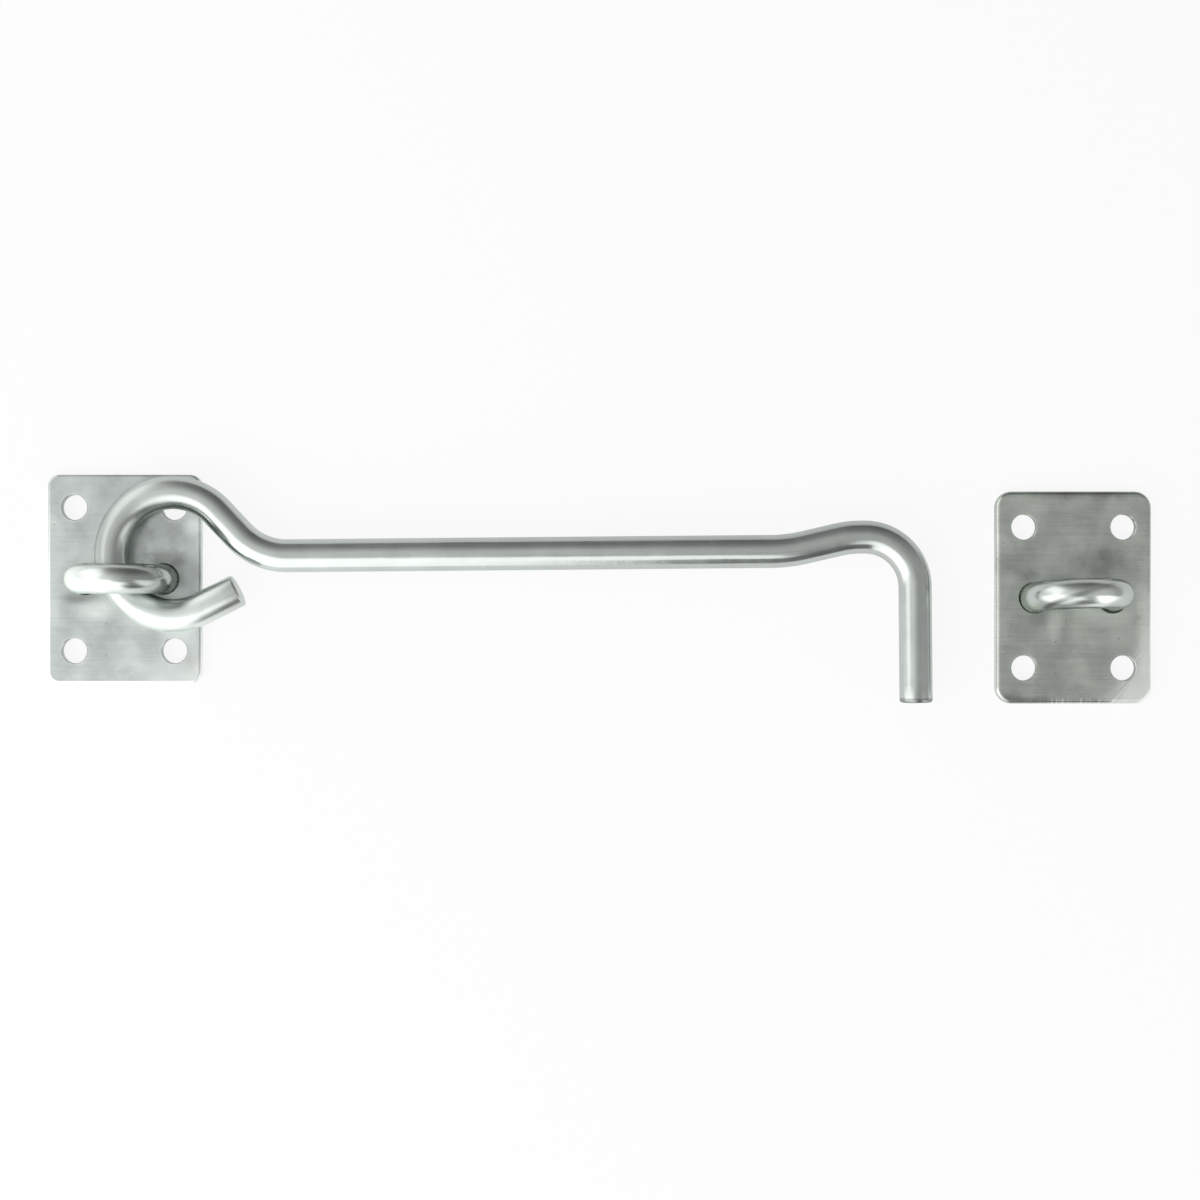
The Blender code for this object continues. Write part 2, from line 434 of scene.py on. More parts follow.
def plate_blank(name, node, corner, edge):
    low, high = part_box(node)
    middle, size = (low + high) / 2, high - low
    bpy.ops.object.select_all(action="DESELECT")
    bpy.ops.mesh.primitive_plane_add(size=1, location=(middle.x, middle.y, low.z))
    plate = bpy.context.object
    plate.name = name
    plate.scale = (size.x, size.y, 1)
    bpy.ops.object.transform_apply(location=True, rotation=True, scale=True)
    to_edit()
    bpy.ops.mesh.select_all(action="SELECT")
    bpy.ops.mesh.bevel(offset=corner, segments=CORNER_FACETS, affect="VERTICES")
    bpy.ops.mesh.select_all(action="SELECT")
    bpy.ops.mesh.extrude_region_move(TRANSFORM_OT_translate={"value": (0, 0, size.z)})

    def is_front(face):
        return face.calc_center_median().z > high.z - MERGE_DISTANCE

    select_faces(plate, is_front)
    bpy.ops.mesh.region_to_loop()
    bpy.ops.mesh.bevel(offset=edge, segments=EDGE_FACETS, profile=0.5)
    select_faces(plate, is_front)
    bpy.ops.mesh.inset(thickness=EDGE_INSET)
    to_object()
    return plate


# %% Drill a plate
def drill_plate(plate, drills):
    for drill in drills:
        cut = plate.modifiers.new("hole", "BOOLEAN")
        cut.operation = "DIFFERENCE"
        cut.object = drill
        bpy.context.view_layer.objects.active = plate
        bpy.ops.object.modifier_apply(modifier=cut.name)
        bpy.data.objects.remove(drill)
    bpy.ops.object.select_all(action="DESELECT")
    plate.select_set(True)
    to_edit()
    tidy_up(plate)


def make_plate(name, node, eye_node, corner, edge):
    plate = plate_blank(name, node, corner, edge)
    drills = [screw_drill(place) for place in screw_hole_places(node)]
    drills += [leg_drill(place) for place in leg_places(eye_node)]
    drill_plate(plate, drills)
    return plate


# %% Both plates
HOOK_PLATE_CORNER, HOOK_PLATE_EDGE = 2.8 * MM, 0.6 * MM
KEEPER_PLATE_CORNER, KEEPER_PLATE_EDGE = 4.0 * MM, 1.0 * MM

hook_plate = make_plate(
    "hook_plate_sheet", "hook_plate", "hook_eye", HOOK_PLATE_CORNER, HOOK_PLATE_EDGE
)
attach(hook_plate, "hook_base")
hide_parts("hook_plate")

keeper_plate = make_plate(
    "keeper_plate_sheet", "keeper_plate", "keeper_eye", KEEPER_PLATE_CORNER, KEEPER_PLATE_EDGE
)
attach(keeper_plate, "keeper")
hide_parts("keeper_plate")

# %% [markdown]
# Node graphs
# The finishes, the paper and the tent are small graphs of shader nodes. Placing and joining
# nodes by hand takes many lines that say little, so this helper adds a node and joins its inputs
# in one call: a number sets a socket, and the output of another node is linked to it.

# %% A board for node graphs
class Board:
    """Adds nodes to one node tree and joins them."""

    def __init__(self, tree):
        self.tree = tree

    def node(self, kind, **settings):
        made = self.tree.nodes.new("ShaderNode" + kind)
        for key, setting in settings.items():
            setattr(made, key, setting)
        return made

    def feed(self, socket, source):
        if isinstance(source, bpy.types.NodeSocket):
            self.tree.links.new(source, socket)
        else:
            socket.default_value = source

    def math(self, operation, a, b=0.0):
        made = self.node("Math", operation=operation)
        self.feed(made.inputs[0], a)
        self.feed(made.inputs[1], b)
        return made.outputs[0]

    def add_up(self, start, *parts):
        """Start with a value and add each source times its weight."""
        total = start
        for source, weight in parts:
            total = self.math("ADD", total, self.math("MULTIPLY", source, weight))
        return total

    def vector(self, operation, a, b=(0.0, 0.0, 0.0)):
        made = self.node("VectorMath", operation=operation)
        self.feed(made.inputs[0], a)
        self.feed(made.inputs[1], b)
        return made.outputs["Value" if operation in ("LENGTH", "DOT_PRODUCT") else "Vector"]

    def remap(self, source, low, high, to_low=0.0, to_high=1.0, soft=True):
        """Carry a range over to another, held at its ends."""
        made = self.node("MapRange", interpolation_type="SMOOTHSTEP" if soft else "LINEAR")
        labels = ("Value", "From Min", "From Max", "To Min", "To Max")
        for label, given in zip(labels, (source, low, high, to_low, to_high)):
            self.feed(made.inputs[label], given)
        return made.outputs["Result"]

    def split(self, place):
        made = self.node("SeparateXYZ")
        self.feed(made.inputs[0], place)
        return made.outputs

    def join(self, x, y, z=0.0):
        made = self.node("CombineXYZ")
        for socket, given in zip(made.inputs, (x, y, z)):
            self.feed(socket, given)
        return made.outputs[0]

    def turned(self, place, turn):
        """Turn a pattern's place by the three angles of a vector."""
        made = self.node("Mapping")
        self.feed(made.inputs["Rotation"], turn)
        self.feed(made.inputs["Vector"], place)
        return made.outputs["Vector"]

    def noise(self, place, scale, detail, roughness=0.5):
        made = self.node("TexNoise")
        labels = ("Vector", "Scale", "Detail", "Roughness")
        for label, given in zip(labels, (place, scale, detail, roughness)):
            self.feed(made.inputs[label], given)
        return made.outputs["Fac"]

    def mix(self, share, first, second):
        """Mix two colours."""
        made = self.node("Mix", data_type="RGBA")
        self.feed(made.inputs["Factor"], share)
        colours = [socket for socket in made.inputs if socket.type == "RGBA"]
        for socket, given in zip(colours, (first, second)):
            self.feed(socket, given)
        return next(socket for socket in made.outputs if socket.type == "RGBA")

    def place_effect(self, group, **given):
        """Put a node group on the board; an input's underscores stand for spaces."""
        made = self.node("Group", node_tree=group)
        for label, source in given.items():
            self.feed(made.inputs[label.replace("_", " ")], source)
        return made.outputs


# %% [markdown]
# Steel effects
# Satin stainless steel is never one grey. Grinding leaves fine lines, rolling and pickling leave
# soft clouds, handling leaves hairline scratches and pits, and the rims of holes are rubbed bright.
# Each of these is a node group, built once, which the steels below place with their own sizes.
# They work in millimetres, because on steel the size of a mark says more than its share of a piece.

# %% A new effect
ORIGIN = (0.0, 0.0, 0.0)
NOISE_MIDDLE = 0.5


def new_effect(name, inputs, outputs):
    """A node group with named inputs and outputs, and the board it is drawn on."""
    group = bpy.data.node_groups.new(name, "ShaderNodeTree")
    for label, start in inputs.items():
        kind = "NodeSocketVector" if isinstance(start, tuple) else "NodeSocketFloat"
        socket = group.interface.new_socket(name=label, in_out="INPUT", socket_type=kind)
        socket.default_value = start
    for label in outputs:
        group.interface.new_socket(name=label, in_out="OUTPUT", socket_type="NodeSocketFloat")
    given, result = group.nodes.new("NodeGroupInput"), group.nodes.new("NodeGroupOutput")
    print("effect", name, "gives", outputs)
    return group, Board(group), given.outputs, result.inputs


# %% [markdown]
# Fine lines
# Lines that run along X are plain noise whose place is squeezed along X and stretched across it.
# The same effect makes brush lines on a plate and draw marks on a rod.

# %% Fine lines
LINE_CONTRAST = (0.25, 0.75)


def make_lines():
    group, board, given, result = new_effect(
        "steel_lines", {"Place": ORIGIN, "Length": 20.0, "Spacing": 0.4}, ["Lines"]
    )
    x, y, z = board.split(given["Place"])
    along = board.math("DIVIDE", x, given["Length"])
    across = board.math("DIVIDE", y, given["Spacing"])
    up = board.math("DIVIDE", z, given["Spacing"])
    grain = board.noise(board.join(along, across, up), 1.0, detail=3.0, roughness=0.6)
    board.feed(result["Lines"], board.remap(grain, *LINE_CONTRAST))
    return group


LINES = make_lines()

# %% [markdown]
# Clouds
# The mottled look of sheet and bar is soft noise. Its contrast is raised so that the mask uses
# its whole range.

# %% Clouds
CLOUD_CONTRAST = (0.3, 0.7)


def make_clouds():
    group, board, given, result = new_effect(
        "steel_clouds", {"Place": ORIGIN, "Size": 8.0}, ["Clouds"]
    )
    scale = board.math("DIVIDE", 1.0, given["Size"])
    cloud = board.noise(given["Place"], scale, detail=3.0, roughness=0.45)
    board.feed(result["Clouds"], board.remap(cloud, *CLOUD_CONTRAST))
    return group


CLOUDS = make_clouds()

# %% [markdown]
# Hairline scratches
# A scratch is the thin line along which stretched noise crosses its middle value. A second,
# coarse noise keeps the scratches to a few places, and Amount says how many places that is.

# %% Hairline scratches
SCRATCH_WIDTH = 0.03
SCRATCHED_PLACES = 0.25
SCRATCH_FADE = 0.1


def make_hairlines():
    group, board, given, result = new_effect(
        "steel_hairlines",
        {"Place": ORIGIN, "Turn": ORIGIN, "Length": 6.0, "Spacing": 0.5, "Amount": 0.5},
        ["Scratches"],
    )
    x, y, z = board.split(board.turned(given["Place"], given["Turn"]))
    along = board.math("DIVIDE", x, given["Length"])
    across = board.math("DIVIDE", y, given["Spacing"])
    stretched = board.noise(board.join(along, across, z), 1.0, detail=1.0)
    ridge = board.math("ABSOLUTE", board.math("SUBTRACT", stretched, NOISE_MIDDLE))
    line = board.remap(ridge, 0.0, SCRATCH_WIDTH, 1.0, 0.0)
    places = board.noise(given["Place"], SCRATCHED_PLACES, detail=1.0)
    edge = board.math("SUBTRACT", 1.0, given["Amount"])
    here = board.remap(places, edge, board.math("ADD", edge, SCRATCH_FADE))
    board.feed(result["Scratches"], board.math("MULTIPLY", line, here))
    return group


HAIRLINES = make_hairlines()

# %% [markdown]
# Pits
# Pits are round and lie far apart. A Voronoi texture gives each point its distance to the middle
# of its cell, and a random colour for the cell, which picks the few cells that have a pit.

# %% Pits
PITTED_SHARE = 0.28
PIT_RIM = 1.6


def make_pits():
    group, board, given, result = new_effect(
        "steel_pits", {"Place": ORIGIN, "Spacing": 2.0, "Radius": 0.15}, ["Pits"]
    )
    cells = board.node("TexVoronoi")
    board.feed(cells.inputs["Vector"], given["Place"])
    board.feed(cells.inputs["Scale"], board.math("DIVIDE", 1.0, given["Spacing"]))
    reach = board.math("MULTIPLY", cells.outputs["Distance"], given["Spacing"])
    rim = board.math("MULTIPLY", given["Radius"], PIT_RIM)
    dot = board.remap(reach, given["Radius"], rim, 1.0, 0.0)
    cell_chance = board.split(cells.outputs["Color"])[0]
    pitted = board.math("GREATER_THAN", cell_chance, 1.0 - PITTED_SHARE)
    board.feed(result["Pits"], board.math("MULTIPLY", dot, pitted))
    return group


PITS = make_pits()

# %% [markdown]
# Patches
# Painted light and shade, such as a neighbour throws on satin steel or the tent leaves in it,
# lie in set places, and so do a few paler and darker patches. Noise alone would put them anywhere,
# so each is an oval of its own place and reach, which may lean, with a rim that noise makes ragged.

# %% Patches
PATCH_RIM_NOISE = 0.35
PATCH_FADE = (0.25, 1.15)


def make_patch():
    group, board, given, result = new_effect(
        "steel_patch",
        {
            "Place": ORIGIN,
            "Middle": ORIGIN,
            "Reach": (4.0, 4.0, 1.0),
            "Slope": 0.0,
            "Raggedness": 0.5,
        },
        ["Patch"],
    )
    x, y, _ = board.split(board.vector("SUBTRACT", given["Place"], given["Middle"]))
    leaning = board.math("SUBTRACT", x, board.math("MULTIPLY", y, given["Slope"]))
    share = board.vector("LENGTH", board.vector("DIVIDE", board.join(leaning, y), given["Reach"]))
    rim = board.noise(given["Place"], PATCH_RIM_NOISE, detail=3.0)
    rim = board.math("SUBTRACT", rim, NOISE_MIDDLE)
    share = board.add_up(share, (rim, given["Raggedness"]))
    board.feed(result["Patch"], board.remap(share, *PATCH_FADE, 1.0, 0.0))
    return group


PATCH = make_patch()

# %% [markdown]
# Worn edges of a plate, and a painted highlight
# The rims of holes are rubbed brighter than the flat, and the edges are rubbed smoother and carry a
# painted highlight towards the lower left. Both are found by a formula: the distance to a rectangle
# with round corners, and the distance to the nearest of four holes, which is the distance to one
# hole once the plate is folded onto one of its quarters.

# %% Worn edges of a plate
def make_plate_wear_and_sheen():
    group, board, given, result = new_effect(
        "plate_wear_and_sheen",
        {
            "Place": ORIGIN,
            "Half Size": (18.7, 25.5, 0.0),
            "Corner": 3.0,
            "Hole Place": (12.2, 17.5, 0.0),
            "Hole Radius": 3.1,
            "Width": 1.0,
        },
        ["Outline", "Holes"],
    )
    flat = board.vector("MULTIPLY", given["Place"], (1.0, 1.0, 0.0))
    quarter = board.vector("ABSOLUTE", flat)
    corner = board.join(given["Corner"], given["Corner"])
    inner = board.vector("SUBTRACT", given["Half Size"], corner)
    beyond = board.vector("SUBTRACT", quarter, inner)
    past = board.vector("LENGTH", board.vector("MAXIMUM", beyond))
    beyond_x, beyond_y, _ = board.split(beyond)
    within = board.math("MINIMUM", board.math("MAXIMUM", beyond_x, beyond_y), 0.0)
    depth = board.math("SUBTRACT", given["Corner"], board.math("ADD", past, within))
    board.feed(result["Outline"], board.remap(depth, 0.0, given["Width"], 1.0, 0.0))
    to_hole = board.vector("LENGTH", board.vector("SUBTRACT", quarter, given["Hole Place"]))
    off_rim = board.math("SUBTRACT", to_hole, given["Hole Radius"])
    board.feed(result["Holes"], board.remap(off_rim, 0.0, given["Width"], 1.0, 0.0))
    return group


PLATE_WEAR_AND_SHEEN = make_plate_wear_and_sheen()

# %% [markdown]
# Steel
# Every finish starts from the same plain steel: fully metallic, with its glancing reflections
# held back a little, as on metal that was brushed and handled. Heights are given to the Bump
# node in millimetres.

# %% Plain steel
EDGE_TINT = (0.80, 0.82, 0.80, 1.0)


def plain_steel(name):
    material = bpy.data.materials.new(name)
    material.use_nodes = True
    shader = material.node_tree.nodes["Principled BSDF"]
    shader.inputs["Metallic"].default_value = 1.0
    shader.inputs["Specular Tint"].default_value = EDGE_TINT
    return material, Board(material.node_tree), shader


def feed_height(board, shader, height):
    bump = board.node("Bump")
    bump.inputs["Distance"].default_value = MM
    board.feed(bump.inputs["Height"], height)
    board.feed(shader.inputs["Normal"], bump.outputs["Normal"])


def weighed(masks, weights):
    """Each named mask with its weight, for add_up."""
    return [(masks[label], weight) for label, weight in weights.items()]


def shaded(board, place, painted_light_and_marks, raggedness, start):
    """Brightness after a list of patches, most of them painted light and shade: middle, reach, change
    and, if one leans, its slope.
    """
    shade = start
    for middle, reach, change, *slope in painted_light_and_marks:
        patch = board.place_effect(
            PATCH,
            Place=place,
            Middle=(*middle, 0.0),
            Reach=(*reach, 1.0),
            Slope=slope[0] if slope else 0.0,
            Raggedness=raggedness,
        )
        shade = board.add_up(shade, (patch["Patch"], change))
    return shade


# %% [markdown]
# Where a mark lies on a plate
# A Mapping node puts the pattern's origin at the plate's middle and turns metres into
# millimetres, so that every mark on a plate is given as a ruler laid on it would give it.

# %% Places on a plate
PER_METRE = 1000.0
EDGE_BAND_WIDTH = 0.9


def plate_place(board, node):
    low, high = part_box(node)
    centred = board.node("Mapping")
    centred.inputs["Location"].default_value = -PER_METRE * (low + high) / 2
    centred.inputs["Scale"].default_value = (PER_METRE,) * 3
    board.feed(centred.inputs["Vector"], board.node("TexCoord").outputs["Object"])
    return centred.outputs["Vector"]


def plate_wear_and_sheen(board, place, node, corner):
    low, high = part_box(node)
    middle, half = (low + high) / 2, (high - low) / 2
    hole_x, hole_y = screw_hole_places(node)[-1]
    return board.place_effect(
        PLATE_WEAR_AND_SHEEN,
        Place=place,
        Half_Size=tuple(half / MM),
        Corner=corner / MM,
        Hole_Place=(abs(hole_x - middle.x) / MM, abs(hole_y - middle.y) / MM, 0.0),
        Hole_Radius=SCREW_HOLE_RADIUS / MM,
        Width=EDGE_BAND_WIDTH,
    )


# %% [markdown]
# Ground corner and its painted glare
# On the keeper the lower right corner was touched on a belt, so it is rougher, and its colour is
# painted nearly white as a painted reflection of the tent. Slanted grinding strokes fray the border
# between it and the satin. The mask is a slanted straight border that the strokes push to and fro.
# The hook plate has a faint one.

# %% Ground corner
TOWARD_CORNER = (0.87, -0.49, 0.0)
STROKE_TURN = (0.0, 0.0, math.radians(-50))
STROKE_FRAY = 3.0


def ground_and_glare_corner(board, place, border):
    slanted = board.turned(place, STROKE_TURN)
    strokes = board.place_effect(LINES, Place=slanted, Length=12.0, Spacing=0.6)["Lines"]
    to_and_fro = board.math("SUBTRACT", strokes, NOISE_MIDDLE)
    toward_corner = board.vector("DOT_PRODUCT", place, TOWARD_CORNER)
    frayed = board.add_up(toward_corner, (to_and_fro, STROKE_FRAY))
    start, end, brightness = border
    return board.remap(frayed, start, end, 0.0, brightness)


# %% [markdown]
# Nicks
# Along the keeper's lower edge the shears left small burrs, and the light that they catch is
# painted into the colour as white specks. They are noise along X only, cut off hard, and kept to
# the front of that edge.

# %% Nicks
BURR_NOISE = 0.9
BURR_CUT = (0.50, 0.58)
NICKS_ABOVE_EDGE = (-25.2, -24.3)
NICKS_FROM_LEFT = (-10.0, -4.0)
NICKS_TO_FRONT = (0.0, 0.6)


def edge_nick_glints(board, place):
    x, y, z = board.split(place)
    burrs = board.noise(board.join(x, 0.0), BURR_NOISE, detail=4.0, roughness=0.7)
    nick_glints = board.remap(burrs, *BURR_CUT)
    nick_glints = board.math("MULTIPLY", nick_glints, board.remap(y, *NICKS_ABOVE_EDGE, 1.0, 0.0))
    nick_glints = board.math("MULTIPLY", nick_glints, board.remap(x, *NICKS_FROM_LEFT))
    return board.math("MULTIPLY", nick_glints, board.remap(z, *NICKS_TO_FRONT))


# %% [markdown]
# Plate steel
# The plates are satin and mottled, with brush lines along X. Colour, roughness and height all
# come from the same few masks, which is what makes a mark look like one thing: a scratch is
# bright, and it is also a groove. Each mask has its weight in a small table.

# %% Colour of a plate
CORNER_GLARE_WHITE = (0.96, 0.98, 0.95, 1.0)
SCRATCH_BRIGHT = (0.86, 0.88, 0.86, 1.0)
HIGHLIGHT_WHITE = (0.97, 0.99, 0.98, 1.0)
HOLE_WALL_SHADE = (0.10, 0.11, 0.10, 1.0)
PIT_DARK = (0.12, 0.13, 0.12, 1.0)

PLATE_SHADE_START = 0.85
PLATE_SHADE = {"clouds": 0.22, "small clouds": 0.08}
PLATE_RAGGEDNESS = 0.5
FROM_LOW_LEFT = (0.6, 0.8, 0.0)
HIGHLIGHT_RIM_FADE = (-14.0, 6.0)
AT_THE_RIM = 0.9
WALL_TOP_FADE = (1.1, 1.24)


def plate_colour(board, place, look, masks):
    shade = board.add_up(PLATE_SHADE_START, *weighed(masks, PLATE_SHADE))
    shade = shaded(board, place, look["painted_light_and_marks"], PLATE_RAGGEDNESS, shade)
    colour = board.mix(masks["lines"], look["dark"], look["light"])
    colour = board.vector("MULTIPLY", colour, board.join(shade, shade, shade))

    from_low_left = board.vector("DOT_PRODUCT", place, FROM_LOW_LEFT)
    low_left = board.remap(from_low_left, *HIGHLIGHT_RIM_FADE, 1.0, 0.0)
    below_front = board.remap(board.split(place)["Z"], *WALL_TOP_FADE, 1.0, 0.0)
    by_hole = board.math("GREATER_THAN", masks["holes"], AT_THE_RIM)
    # Each layer has its mask, how strongly it covers, and its colour.
    layers = (
        # the ground corner's colour is a painted reflection of the tent
        (masks["ground_and_glare"], 0.9, CORNER_GLARE_WHITE),
        (masks["scratches"], 0.5, SCRATCH_BRIGHT),
        (masks["holes"], 0.25, SCRATCH_BRIGHT),
        # painted highlight on the rounded rim, fading out away from the lower left
        (board.math("MULTIPLY", masks["outline"], low_left), look["rim"], HIGHLIGHT_WHITE),
        # painted shade on the hole walls and round the holes behind the front
        (board.math("MULTIPLY", by_hole, below_front), 0.6, HOLE_WALL_SHADE),
        # painted glints on the burrs
        (edge_nick_glints(board, place), look["nick_glints"], HIGHLIGHT_WHITE),
        (masks["pits"], 0.55, PIT_DARK),
    )
    for mask, strength, over in layers:
        colour = board.mix(board.math("MULTIPLY", mask, strength), colour, over)
    return colour


# %% Masks of a plate
PLATE_SCRATCH_TURN = (0.0, 0.0, math.radians(-35))


def plate_masks(board, place, node, look):
    wear_and_sheen = plate_wear_and_sheen(board, place, node, look["corner"])
    return {
        "lines": board.place_effect(LINES, Place=place, Length=14.0, Spacing=0.35)["Lines"],
        "streaks": board.place_effect(LINES, Place=place, Length=30.0, Spacing=1.6)["Lines"],
        "clouds": board.place_effect(CLOUDS, Place=place, Size=9.0)["Clouds"],
        "small clouds": board.place_effect(CLOUDS, Place=place, Size=3.0)["Clouds"],
        "scratches": board.place_effect(
            HAIRLINES,
            Place=place,
            Turn=PLATE_SCRATCH_TURN,
            Length=9.0,
            Spacing=0.5,
            Amount=look["scratches"],
        )["Scratches"],
        "pits": board.place_effect(PITS, Place=place, Spacing=4.0, Radius=0.16)["Pits"],
        "ground_and_glare": ground_and_glare_corner(board, place, look["ground_and_glare"]),
        "outline": wear_and_sheen["Outline"],
        "holes": wear_and_sheen["Holes"],
    }


# %% The whole finish of a plate
PLATE_ROUGHNESS = {"clouds": 0.12, "lines": 0.08, "ground_and_glare": 0.2, "outline": -0.08}
PLATE_MEAN_ROUGHENING = 0.10  # what the clouds and lines add on average
PLATE_HEIGHT = {"streaks": 0.004, "clouds": 0.05, "scratches": -0.004, "pits": -0.02}


def plate_steel(name, node, look):
    material, board, shader = plain_steel(name)
    place = plate_place(board, node)
    masks = plate_masks(board, place, node, look)
    board.feed(shader.inputs["Base Color"], plate_colour(board, place, look, masks))

    smoothest = look["roughness"] - PLATE_MEAN_ROUGHENING
    roughness = board.add_up(smoothest, *weighed(masks, PLATE_ROUGHNESS))
    board.feed(shader.inputs["Roughness"], roughness)

    lines = (masks["lines"], look["line depth"])
    feed_height(board, shader, board.add_up(0.0, lines, *weighed(masks, PLATE_HEIGHT)))
    print(name, len(board.tree.nodes), "nodes")
    return material


# %% [markdown]
# Hook plate finish
# The hook plate is the paler one, with fainter brush lines. Its marks are given in millimetres
# from the middle of the plate, as the middle of the mark, its reach, and how much brighter or
# darker it makes the steel. Most are painted light and shade, which lie in the sweep of the ring.

# %% Hook plate finish
HOOK_PLATE_LOOK = {
    "corner": HOOK_PLATE_CORNER,
    "dark": (0.565, 0.605, 0.58, 1.0),
    "light": (0.60, 0.645, 0.625, 1.0),
    "roughness": 0.29,
    "scratches": 0.3,
    "line depth": 0.0006,
    "rim": 0.9,
    "nick_glints": 0.0,
    "ground_and_glare": (18.0, 32.0, 0.5),
    "painted_light_and_marks": (
        ((-6.7, -7.5), (7.0, 3.2), 0.32),  # painted highlight below the eye, in the sweep of the ring
        ((8.0, -9.5), (9.0, 3.5), 0.22),  # the ring's own light on the plate
        ((13.5, -13.5), (6.0, 5.0), 0.28),  # the light below the ring's free end
        ((-11.5, -4.6), (5.5, 1.9), -0.34),  # painted contact shadow at the left leg
        ((3.0, 9.5), (4.5, 8.5), -0.36),  # shade along the inside of the ring
        ((10.0, 4.8), (5.5, 3.0), -0.44),  # darker patch above the right leg
        ((15.5, 0.5), (4.5, 6.5), -0.34),  # painted shade beside the right leg
        ((9.5, 12.0), (8.0, 6.0), -0.22),  # painted shade inside the ring
        ((16.7, 12.7), (2.8, 2.8), 0.30),  # bright spot by the upper right hole
        ((-12.0, 8.0), (5.0, 9.0), -0.08),  # left of the ring
        ((0.0, 24.0), (24.0, 6.0), -0.12),  # upper end
        ((0.0, -23.0), (24.0, 5.0), 0.10),  # lower end
        ((-18.0, -8.0), (4.0, 20.0), 0.10),  # left side
    ),
}
hook_plate.data.materials.append(
    plate_steel("hook_plate_finish", "hook_plate", HOOK_PLATE_LOOK)
)

# %% [markdown]
# Keeper plate finish
# The keeper is a little darker, with plainer brush lines, a darker patch at the left, the arch's
# painted dark reflection above its eye, a painted highlight along its right edge, and dark bands
# along its rolled edges at the top and at the lower left.

# %% Keeper plate finish
KEEPER_PLATE_LOOK = {
    "corner": KEEPER_PLATE_CORNER,
    "dark": (0.54, 0.58, 0.53, 1.0),
    "light": (0.60, 0.645, 0.59, 1.0),
    "roughness": 0.28,
    "scratches": 0.36,
    "line depth": 0.001,
    "rim": 0.35,
    "nick_glints": 0.9,
    "ground_and_glare": (18.0, 23.0, 0.95),
    "painted_light_and_marks": (
        ((-14.0, 8.5), (6.0, 4.0), -0.26),  # darker patch at the left
        ((6.4, 8.6), (7.4, 4.4), -0.40),  # painted dark reflection of the arch above the eye
        ((-11.0, 5.6), (3.5, 2.0), -0.30),  # painted dark reflection of the arch above the left leg
        ((-4.6, -6.0), (2.4, 7.0), 0.34),  # light that runs down below the eye
        ((-9.0, -5.0), (3.0, 3.0), -0.12),  # shade below the left leg
        ((8.5, -5.0), (8.0, 2.6), 0.16),  # light below the eye's right half
        ((18.4, -12.0), (3.8, 15.0), 0.60),  # painted highlight along the right edge
        ((17.4, 2.0), (2.6, 11.0), 0.24),  # fainter painted highlight higher up
        ((13.5, 14.5), (4.0, 9.0), 0.14),  # pale cloud at the upper right
        ((0.0, 27.0), (26.0, 3.4), -0.50),  # dark upper edge
        ((-14.0, -26.5), (10.0, 3.4), -0.60),  # dark lower left edge
    ),
}
keeper_plate.data.materials.append(
    plate_steel("keeper_plate_finish", "keeper_plate", KEEPER_PLATE_LOOK)
)

# %% [markdown]
# Bar steel
# Rods are drawn through a die, which leaves faint marks along them that follow every bend. So
# this steel reads the straightened places instead of object coordinates. Its marks are placed on
# the bar laid out straight: the distance along it, and the height above its centre line.

# %% Masks of a bar
BAR_SCRATCH_TURN = (0.0, 0.0, math.radians(70))


def bar_masks(board, place):
    return {
        "drawn": board.place_effect(LINES, Place=place, Length=25.0, Spacing=0.45)["Lines"],
        "bands": board.place_effect(LINES, Place=place, Length=60.0, Spacing=2.5)["Lines"],
        "clouds": board.place_effect(CLOUDS, Place=place, Size=7.0)["Clouds"],
        "scratches": board.place_effect(
            HAIRLINES,
            Place=place,
            Turn=BAR_SCRATCH_TURN,
            Length=2.5,
            Spacing=0.6,
            Amount=0.34,
        )["Scratches"],
    }


# %% The whole finish of a bar
BAR_TONE = {"drawn": 0.4, "clouds": 0.6}
BAR_RAGGEDNESS = 0.2
BAR_SCRATCH_STRENGTH = 0.4
BAR_ROUGHNESS = {"drawn": 0.08, "clouds": 0.06}
BAR_MEAN_ROUGHENING = 0.07  # what the draw marks and clouds add on average
BAR_HEIGHT = {"drawn": 0.0012, "bands": 0.012, "clouds": 0.02, "scratches": -0.003}


def bar_steel(name, look):
    material, board, shader = plain_steel(name)
    straightened = board.node("Attribute", attribute_name="straightened").outputs["Vector"]
    place = board.vector("MULTIPLY", straightened, (PER_METRE,) * 3)
    masks = bar_masks(board, place)

    along, _, above = board.split(place)
    shade = shaded(board, board.join(along, above), look["painted_light_and_marks"], BAR_RAGGEDNESS, 1.0)
    tone = board.add_up(0.0, *weighed(masks, BAR_TONE))
    colour = board.mix(tone, look["dark"], look["light"])
    colour = board.vector("MULTIPLY", colour, board.join(shade, shade, shade))
    scratched = board.math("MULTIPLY", masks["scratches"], BAR_SCRATCH_STRENGTH)
    board.feed(shader.inputs["Base Color"], board.mix(scratched, colour, SCRATCH_BRIGHT))

    start, end, extra = look["satin"]
    masks["satin"] = board.remap(along, start, end, extra, 0.0)
    smoothest = look["roughness"] - BAR_MEAN_ROUGHENING
    roughness = board.add_up(smoothest, (masks["satin"], 1.0), *weighed(masks, BAR_ROUGHNESS))
    board.feed(shader.inputs["Roughness"], roughness)
    feed_height(board, shader, board.add_up(0.0, *weighed(masks, BAR_HEIGHT)))
    print(name, len(board.tree.nodes), "nodes")
    return material


